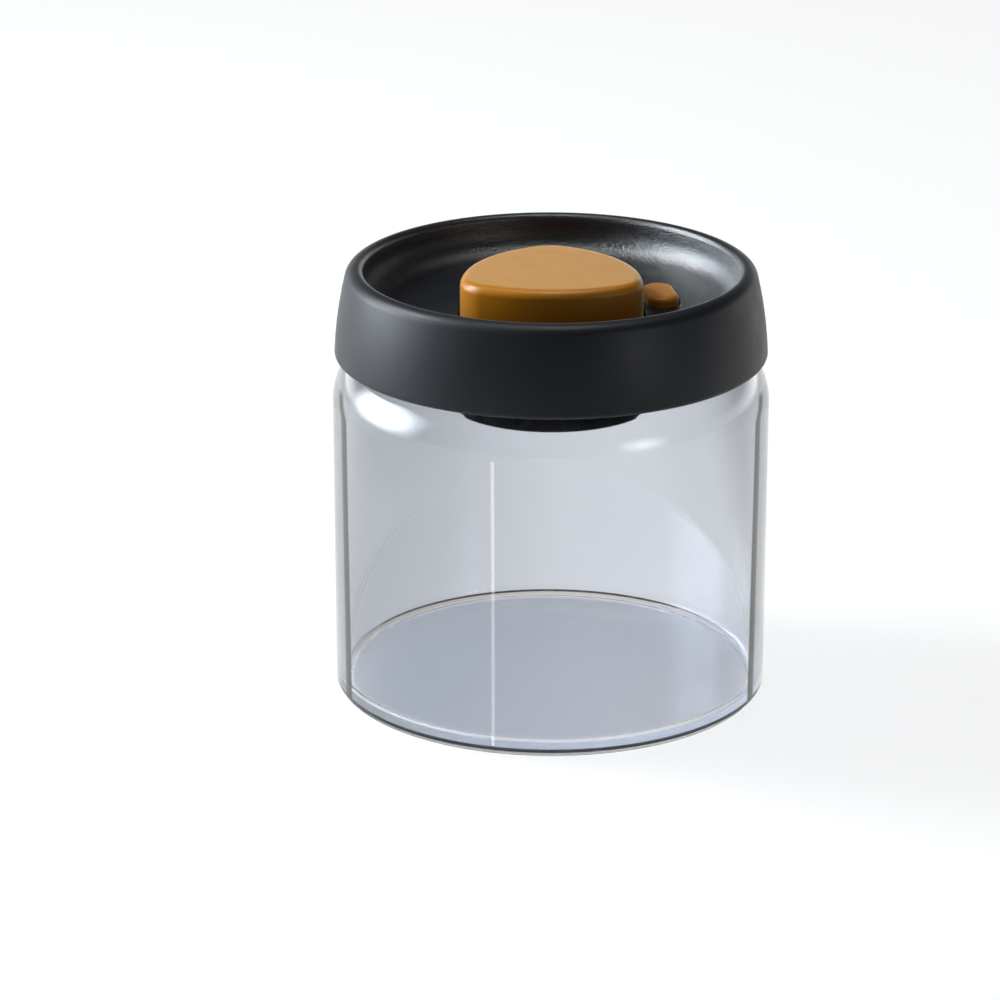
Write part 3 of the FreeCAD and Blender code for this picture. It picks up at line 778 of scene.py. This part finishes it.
def feed(tree, socket, source):
    """Links a source's output to a socket, or sets a plain value on it."""
    if isinstance(source, tuple) and isinstance(source[0], bpy.types.Node):
        node, output = source
        tree.links.new(node.outputs[output], socket)
    else:
        socket.default_value = source


def place_on_object(tree):
    return tree.nodes.new("ShaderNodeTexCoord"), "Object"


def sides_of(tree, source):
    """Node that splits a place into its X, Y and Z."""
    node = tree.nodes.new("ShaderNodeSeparateXYZ")
    feed(tree, node.inputs["Vector"], source)
    return node


def maths(tree, operation, first, second):
    node = tree.nodes.new("ShaderNodeMath")
    node.operation = operation
    feed(tree, node.inputs[0], first)
    feed(tree, node.inputs[1], second)
    return node, "Value"


def span(tree, source, start, end, low=0.0, high=1.0, smooth=False):
    """Value that runs from low to high while the source runs from start to end."""
    node = tree.nodes.new("ShaderNodeMapRange")
    node.interpolation_type = "SMOOTHSTEP" if smooth else "LINEAR"
    for socket, value in (("From Min", start), ("From Max", end), ("To Min", low), ("To Max", high)):
        node.inputs[socket].default_value = value
    feed(tree, node.inputs["Value"], source)
    return node, "Result"


def mixed(tree, kind, share, first, second, blend="MIX"):
    """Mix of two values (kind FLOAT) or of two colours (kind RGBA)."""
    node = tree.nodes.new("ShaderNodeMix")
    node.data_type = kind
    node.blend_type = blend
    feed(tree, node.inputs["Factor"], share)
    feed(tree, node.inputs["A"], first)
    feed(tree, node.inputs["B"], second)
    return node, "Result"


def tone_ramp(tree, source, tones, easing="LINEAR"):
    """Colour ramp through pairs of a position and a colour."""
    node = tree.nodes.new("ShaderNodeValToRGB")
    node.color_ramp.interpolation = easing
    stops = node.color_ramp.elements
    stops[0].position, stops[1].position = tones[0][0], tones[-1][0]
    for position, tone in tones[1:-1]:
        stops.new(position)
    for stop, (position, tone) in zip(stops, tones):
        stop.color = (*tone, 1)
    feed(tree, node.inputs["Fac"], source)
    return node, "Color"


def speckle(tree, place, scale, detail=3.0, roughness=0.55):
    """Noise over a place; scale is in features to the metre."""
    node = tree.nodes.new("ShaderNodeTexNoise")
    node.inputs["Scale"].default_value = scale
    node.inputs["Detail"].default_value = detail
    node.inputs["Roughness"].default_value = roughness
    feed(tree, node.inputs["Vector"], place)
    return node, "Fac"


def relief(tree, source, depth):
    """Bump of a given depth."""
    node = tree.nodes.new("ShaderNodeBump")
    node.inputs["Strength"].default_value = 1.0
    node.inputs["Distance"].default_value = depth
    feed(tree, node.inputs["Height"], source)
    return node, "Normal"


def across_axis(tree, place, start, end):
    """Share that runs from 0 to 1 between two distances from the Z axis."""
    flatten = tree.nodes.new("ShaderNodeVectorMath")
    flatten.operation = "MULTIPLY"
    flatten.inputs[1].default_value = (1, 1, 0)
    feed(tree, flatten.inputs[0], place)
    reach = tree.nodes.new("ShaderNodeVectorMath")
    reach.operation = "LENGTH"
    feed(tree, reach.inputs[0], (flatten, "Vector"))
    return span(tree, (reach, "Value"), start, end)


def mixed_shader(tree, share, first, second):
    """Puts a mix of two shaders on the material's output."""
    node = tree.nodes.new("ShaderNodeMixShader")
    feed(tree, node.inputs["Fac"], share)
    feed(tree, node.inputs[1], first)
    feed(tree, node.inputs[2], second)
    feed(tree, tree.nodes["Material Output"].inputs["Surface"], (node, "Shader"))


def moulded(name, dark, light, gloss, grain, depth, specular=0.5, drift=45.0):
    """Moulded or drawn surface: tone and gloss drift over it and a fine grain covers it."""
    material = bpy.data.materials.new(name)
    material.use_nodes = True
    tree = material.node_tree
    surface = tree.nodes["Principled BSDF"].inputs
    surface["Specular IOR Level"].default_value = specular
    place = place_on_object(tree)
    tones = tuple(zip(noise_middle, (dark, light)))
    feed(tree, surface["Base Color"], tone_ramp(tree, speckle(tree, place, drift), tones))
    smears = speckle(tree, place, drift * gloss_drift)
    feed(tree, surface["Roughness"], span(tree, smears, *noise_middle, *gloss))
    feed(tree, surface["Normal"], relief(tree, speckle(tree, place, grain, fine_detail), depth))
    return material


metal_shade = 0.85


def metal(name, tone, gloss, grain, depth):
    material = moulded(name, [part * metal_shade for part in tone], tone, gloss, grain, depth)
    material.node_tree.nodes["Principled BSDF"].inputs["Metallic"].default_value = 1
    return material


# Charcoal plastic: the dish has a coarser grain, and a glossy coat that grows towards its wall
dish_gloss = 0.26
dish_coat_ior = 1.6
dish_grain = 2300.0
dish_grain_depth = 0.18 * mm


def charcoal_plastic():
    material = moulded("charcoal_plastic", dark=(0.0075, 0.0086, 0.0112), light=(0.0098, 0.0112, 0.0142),
                       gloss=(0.4, 0.47), grain=3600.0, depth=0.004 * mm, specular=0.27)
    tree = material.node_tree
    surface = tree.nodes["Principled BSDF"].inputs
    place = (tree.nodes["Texture Coordinate"], "Object")
    fine = (tree.nodes["Bump"], "Normal")
    satin = (surface["Roughness"].links[0].from_node, "Result")
    inside = across_axis(tree, place, rim_ridge_radius, rim_ridge_radius - rim_round)
    by_wall = across_axis(tree, place, dish_edge - dish_round, dish_edge + dish_round / 2)
    coarse = relief(tree, speckle(tree, place, dish_grain, fine_detail), dish_grain_depth)
    feed(tree, coarse[0].inputs["Strength"], inside)
    feed(tree, coarse[0].inputs["Normal"], fine)
    feed(tree, surface["Normal"], coarse)
    feed(tree, surface["Roughness"], mixed(tree, "FLOAT", inside, satin, dish_gloss))
    surface["Coat Roughness"].default_value = dish_gloss
    surface["Coat IOR"].default_value = dish_coat_ior
    feed(tree, surface["Coat Weight"], maths(tree, "MULTIPLY", by_wall, inside))
    feed(tree, surface["Coat Normal"], coarse)
    return material


# Mustard plastic: soft-touch skin, which is paler where it is seen at a low slant
mustard_sheen = 0.5
mustard_sheen_spread = 0.3
mustard_sheen_tint = (1.0, 0.95, 0.55, 1)


def mustard_plastic():
    material = moulded("mustard_plastic", dark=(0.32, 0.117, 0.0006), light=(0.36, 0.131, 0.001),
                       gloss=(0.3, 0.38), grain=3600.0, depth=0.004 * mm, specular=0.35)
    surface = material.node_tree.nodes["Principled BSDF"].inputs
    surface["Sheen Weight"].default_value = mustard_sheen
    surface["Sheen Roughness"].default_value = mustard_sheen_spread
    surface["Sheen Tint"].default_value = mustard_sheen_tint
    return material


# Smoky glass. Painted shade on its outer face by slant: a painted dark line where the wall is seen edge on,
# and a painted grey beyond it at the very edge.
glass_ior = 1.47
glass_tone = (0.8, 0.815, 0.845)
painted_glass_shade = (0.003, 0.003, 0.004)
glass_shadow = (0.72, 0.76, 0.82, 1)
painted_edge_shade_tones = (
    (0.0, glass_tone),
    (0.66, glass_tone),
    (0.675, painted_glass_shade),
    (0.73, painted_glass_shade),
    (0.745, (0.42, 0.44, 0.44)),
    (1.0, (0.5, 0.52, 0.52)),
)

# The same by height, as shares of the base's thickness: a painted warm reflection on the foot under a
# painted shade line
painted_foot_reflection = (0.8, 0.64, 0.44)
painted_foot_light_tones = (
    (0.0, painted_foot_reflection),
    (0.48, painted_foot_reflection),
    (0.54, painted_glass_shade),
    (0.84, painted_glass_shade),
    (0.92, white[:3]),
    (1.0, white[:3]),
)

# The foot of the base is ground, so it scatters light; a thin film and slow waves cover the rest
ground_foot = 0.5
film_scale = 60.0
film_roughness = 0.02
wave_scale = 18.0
wave_detail = 1.0
wave_depth = 0.06 * mm


def smoky_glass():
    """Tinted clear glass that lets lamp light through to what is behind it."""
    material = bpy.data.materials.new("smoky_glass")
    material.use_nodes = True
    tree = material.node_tree
    shader = tree.nodes["Principled BSDF"]
    surface = shader.inputs
    surface["Transmission Weight"].default_value = 1
    surface["IOR"].default_value = glass_ior
    place = place_on_object(tree)
    height = (sides_of(tree, place), "Z")
    # Painted light on the outer face: a painted shade line by slant, and by height a painted warm
    # reflection on the foot under a painted shade line.
    slant = tree.nodes.new("ShaderNodeLayerWeight")
    painted_slant_shade = tone_ramp(tree, (slant, "Facing"), painted_edge_shade_tones)
    painted_foot_light = tone_ramp(tree, span(tree, height, 0.0, glass_base), painted_foot_light_tones)
    painted_outer_light = mixed(tree, "RGBA", 1.0, painted_slant_shade, painted_foot_light, "MULTIPLY")
    outer = across_axis(tree, place, jar_radius - glass_wall / 2, jar_radius - glass_wall / 3)
    feed(tree, surface["Base Color"], mixed(tree, "RGBA", outer, (*glass_tone, 1), painted_outer_light))
    film = span(tree, speckle(tree, place, film_scale), *noise_middle, 0.0, film_roughness)
    foot = span(tree, height, base_corner, base_corner / 2, 0.0, ground_foot)
    feed(tree, surface["Roughness"], maths(tree, "ADD", film, foot))
    feed(tree, surface["Normal"], relief(tree, speckle(tree, place, wave_scale, wave_detail), wave_depth))
    path = tree.nodes.new("ShaderNodeLightPath")
    clear = tree.nodes.new("ShaderNodeBsdfTransparent")
    clear.inputs["Color"].default_value = glass_shadow
    mixed_shader(tree, (path, "Is Shadow Ray"), (shader, "BSDF"), (clear, "BSDF"))
    return material


finishes = {
    "smoky_glass": smoky_glass(),
    "charcoal_plastic": charcoal_plastic(),
    "mustard_plastic": mustard_plastic(),
    "black_plastic": moulded("black_plastic", dark=(0.003, 0.003, 0.004), light=(0.005, 0.005, 0.006),
                             gloss=(0.2, 0.32), grain=2500.0, depth=0.004 * mm, specular=0.15),
    "pale_plastic": moulded("pale_plastic", dark=(0.56, 0.56, 0.53), light=(0.64, 0.64, 0.61),
                            gloss=(0.4, 0.5), grain=3000.0, depth=0.006 * mm),
    "grey_silicone": moulded("grey_silicone", dark=(0.16, 0.165, 0.18), light=(0.2, 0.205, 0.22),
                             gloss=(0.45, 0.6), grain=2500.0, depth=0.008 * mm),
    "spring_steel": metal("spring_steel", tone=(0.6, 0.6, 0.59), gloss=(0.2, 0.32), grain=5000.0,
                          depth=0.003 * mm),
    "screw_steel": metal("screw_steel", tone=(0.52, 0.53, 0.55), gloss=(0.28, 0.4), grain=4000.0,
                         depth=0.004 * mm),
    "filter_felt": moulded("filter_felt", dark=(0.6, 0.58, 0.53), light=(0.75, 0.73, 0.67),
                           gloss=(0.85, 0.95), grain=2600.0, depth=0.05 * mm, specular=0.2, drift=300.0),
}

for piece, slot in ((jar, "smoky_glass"), (cover, "charcoal_plastic"), (plug, "black_plastic"),
                    (gasket, "grey_silicone"), (cylinder, "black_plastic"), (filter_cover, "black_plastic"),
                    (press, "mustard_plastic"), (vent, "mustard_plastic"), (pump_coil, "spring_steel"),
                    (vent_coil, "spring_steel")):
    piece.data.materials.append(finishes[slot])

for subpart in frame["record"]["subparts"]:
    node = frame["nodes"][subpart["node"]]
    for socket in node.material_slots:
        socket.material = finishes[subpart["material_slot"]]


# Stage: pale floor, soft lamps and a camera at the photograph's angle
def staged(name, bm):
    """Stage object from a mesh."""
    mesh = bpy.data.meshes.new(name)
    bm.to_mesh(mesh)
    bm.free()
    piece = bpy.data.objects.new(name, mesh)
    bpy.context.collection.objects.link(piece)
    return piece


# Floor: painted shade from left to right, as it is seen through the glass; reflections see it with painted
# shade in front
floor_size = 6.0
floor_drop = 0.3 * mm
floor_white = 0.86
floor_roughness = 0.9
backdrop_part = 0.8
front_reach = 0.2
painted_front_shade = 0.3
shade_reach = 0.1
floor_painted_shades = ((0.1, 0.34), (0.64, 1.0), (0.76, 0.9), (0.92, 0.42))


def floor_paint():
    """Paint that takes shadows, part lit and part bright by itself where a ray shows it to the camera, with
    painted shade where it is seen through the glass and in reflections.
    """
    material = bpy.data.materials.new("floor_paint")
    material.use_nodes = True
    tree = material.node_tree
    shader = tree.nodes["Principled BSDF"]
    shader.inputs["Base Color"].default_value = (floor_white, floor_white, floor_white, 1)
    shader.inputs["Roughness"].default_value = floor_roughness
    shader.inputs["Specular IOR Level"].default_value = 0.0
    path = tree.nodes.new("ShaderNodeLightPath")
    camera_ray = (path, "Is Camera Ray")
    glossy_ray = (path, "Is Glossy Ray")
    glass_ray = (path, "Is Transmission Ray")
    sides = sides_of(tree, place_on_object(tree))
    # Painted shade: the floor's tone through the glass, darker to the left and at the far right.
    over = span(tree, (sides, "X"), -shade_reach, shade_reach)
    painted_shades = tone_ramp(tree, over, [(share, (tone, tone, tone)) for share, tone in floor_painted_shades], "EASE")
    # Painted shade: in reflections the floor is darker in front.
    ahead = span(tree, (sides, "Y"), -front_reach, 0.0, painted_front_shade, 1.0, smooth=True)
    mirrored = mixed(tree, "RGBA", glossy_ray, white, ahead)
    bright = tree.nodes.new("ShaderNodeEmission")
    feed(tree, bright.inputs["Color"], mixed(tree, "RGBA", glass_ray, mirrored, painted_shades))
    shown = maths(tree, "MAXIMUM", maths(tree, "MAXIMUM", camera_ray, glossy_ray), glass_ray)
    part = maths(tree, "MULTIPLY", shown, backdrop_part)
    mixed_shader(tree, part, (shader, "BSDF"), (bright, "Emission"))
    return material


def floor():
    bm = bmesh.new()
    bmesh.ops.create_grid(bm, x_segments=1, y_segments=1, size=floor_size / 2,
                          matrix=Matrix.Translation(Vector((0, 0, -floor_drop))))
    staged("floor", bm).data.materials.append(floor_paint())


floor()

# World: white to the camera and through the glass.
# Reflections see a pale horizon behind and a dim room in front.
world_light = 0.12
room_tone = 0.06
horizon_tone = 1.6
horizon_turn = (-0.2, 0.7)
horizon_rise = (0.06, 0.3)


def studio_world():
    world = bpy.data.worlds.new("studio")
    bpy.context.scene.world = world
    world.use_nodes = True
    tree = world.node_tree
    sky = tree.nodes["Background"]
    sky.inputs["Color"].default_value = white
    sides = sides_of(tree, (tree.nodes.new("ShaderNodeTexCoord"), "Generated"))
    behind = span(tree, (sides, "Y"), *horizon_turn, smooth=True)
    low = span(tree, (sides, "Z"), *horizon_rise, 1.0, 0.0, smooth=True)
    horizon = maths(tree, "MULTIPLY", behind, low)
    mirrored = span(tree, horizon, 0.0, 1.0, room_tone, horizon_tone)
    path = tree.nodes.new("ShaderNodeLightPath")
    shown = maths(tree, "MAXIMUM", (path, "Is Camera Ray"), (path, "Is Transmission Ray"))
    plain = span(tree, shown, 0.0, 1.0, world_light, 1.0)
    feed(tree, sky.inputs["Strength"], mixed(tree, "FLOAT", (path, "Is Glossy Ray"), plain, mirrored))


studio_world()

# Lamps: soft rectangles, brightest in the middle of their face
middle = Vector((0, 0, canister_height / 2))
lamp_middle = 0.5
lamp_peak = 2.0


def fade_to_edges(data):
    """Lamp face that fades out towards its edges."""
    data.use_nodes = True
    tree = data.node_tree
    face = tree.nodes.new("ShaderNodeNewGeometry")
    sides = sides_of(tree, (face, "Parametric"))
    fades = []
    for side in "XY":
        away = maths(tree, "PINGPONG", (sides, side), lamp_middle)
        fades.append(span(tree, away, 0.0, lamp_middle, 0.0, lamp_peak, smooth=True))
    feed(tree, tree.nodes["Emission"].inputs["Strength"], maths(tree, "MULTIPLY", *fades))


def lamp(name, place, width, height, power, tint=(1, 1, 1)):
    """Lamp that faces the middle of the canister."""
    data = bpy.data.lights.new(name, "AREA")
    data.shape = "RECTANGLE"
    data.size = width
    data.size_y = height
    data.energy = power
    data.color = tint
    lamp_object = bpy.data.objects.new(name, data)
    bpy.context.collection.objects.link(lamp_object)
    lamp_object.location = place
    lamp_object.rotation_mode = "QUATERNION"
    lamp_object.rotation_quaternion = (middle - Vector(place)).to_track_quat("-Z", "Y")
    fade_to_edges(data)


lamp("window", (-0.82, 0.14, 0.3), width=1.0, height=0.8, power=14.0, tint=(0.84, 0.92, 1.0))
lamp("key", (-0.72, 0.22, 0.75), width=0.42, height=0.42, power=9.5, tint=(0.93, 0.97, 1.0))
lamp("top", (0.0, 0.05, 1.15), width=1.0, height=0.8, power=4.2)
lamp("side", (0.7, -0.65, 0.22), width=0.6, height=0.5, power=1.0)

# Strip light laid on the floor in front: only reflections see it, as a thin upright line in the glass
strip_wall_angle = math.radians(-105.4)
strip_heading = 2 * strip_wall_angle + math.pi / 2
strip_start = 5 * mm
strip_length = 0.34
strip_narrow = 0.8 * mm
strip_wide = 12.0 * mm
strip_strength = 6.0
strip_tint = (1.0, 0.97, 0.88, 1)


def strip_light():
    """Wedge that widens away from the jar: its near edge, drawn out to the far end and made wider there."""
    wall = around(jar_radius, strip_wall_angle)
    near = wall + around(strip_start, strip_heading)
    far = wall + around(strip_length, strip_heading)
    half = around(strip_narrow / 2, strip_heading + math.pi / 2)
    bm = bmesh.new()
    draw(bm, near + half, [near - half], up)
    made = bmesh.ops.extrude_edge_only(bm, edges=bm.edges[:])
    for vert in made["geom"]:
        if isinstance(vert, bmesh.types.BMVert):
            vert.co = far + (vert.co - near) * (strip_wide / strip_narrow)
    strip = staged("strip_light", bm)
    material = bpy.data.materials.new("strip_glow")
    material.use_nodes = True
    surface = material.node_tree.nodes["Principled BSDF"].inputs
    surface["Base Color"].default_value = (0, 0, 0, 1)
    surface["Emission Color"].default_value = strip_tint
    surface["Emission Strength"].default_value = strip_strength
    strip.data.materials.append(material)
    strip.visible_camera = False
    strip.visible_diffuse = False
    strip.visible_transmission = False
    strip.visible_shadow = False


strip_light()

# Camera: height, tilt and lens fitted to the photograph's rings
image_width = 1000
camera_reach = 1.0
camera_rise = math.radians(19.74)
camera_focal_pixels = 4122
camera_sensor = 36 * mm
camera_clip = (0.01, 20)
object_pixel = (550.5, 473.5)

camera_data = bpy.data.cameras.new("photo_camera")
camera = bpy.data.objects.new("photo_camera", camera_data)
bpy.context.collection.objects.link(camera)
bpy.context.scene.camera = camera
camera_data.sensor_width = camera_sensor / mm
camera_data.lens = camera_focal_pixels / image_width * camera_sensor / mm
camera_data.clip_start, camera_data.clip_end = camera_clip
back = Vector((0, -math.cos(camera_rise), math.sin(camera_rise)))
camera.rotation_mode = "QUATERNION"
camera.rotation_quaternion = (-back).to_track_quat("-Z", "Y")
camera_right = Vector((1, 0, 0))
camera_up = back.cross(camera_right)
pixel = camera_reach / camera_focal_pixels
aim = middle - camera_right * (object_pixel[0] - image_width / 2) * pixel
aim += camera_up * (object_pixel[1] - image_width / 2) * pixel
camera.location = aim + back * camera_reach

bpy.context.scene.view_settings.view_transform = "Standard"
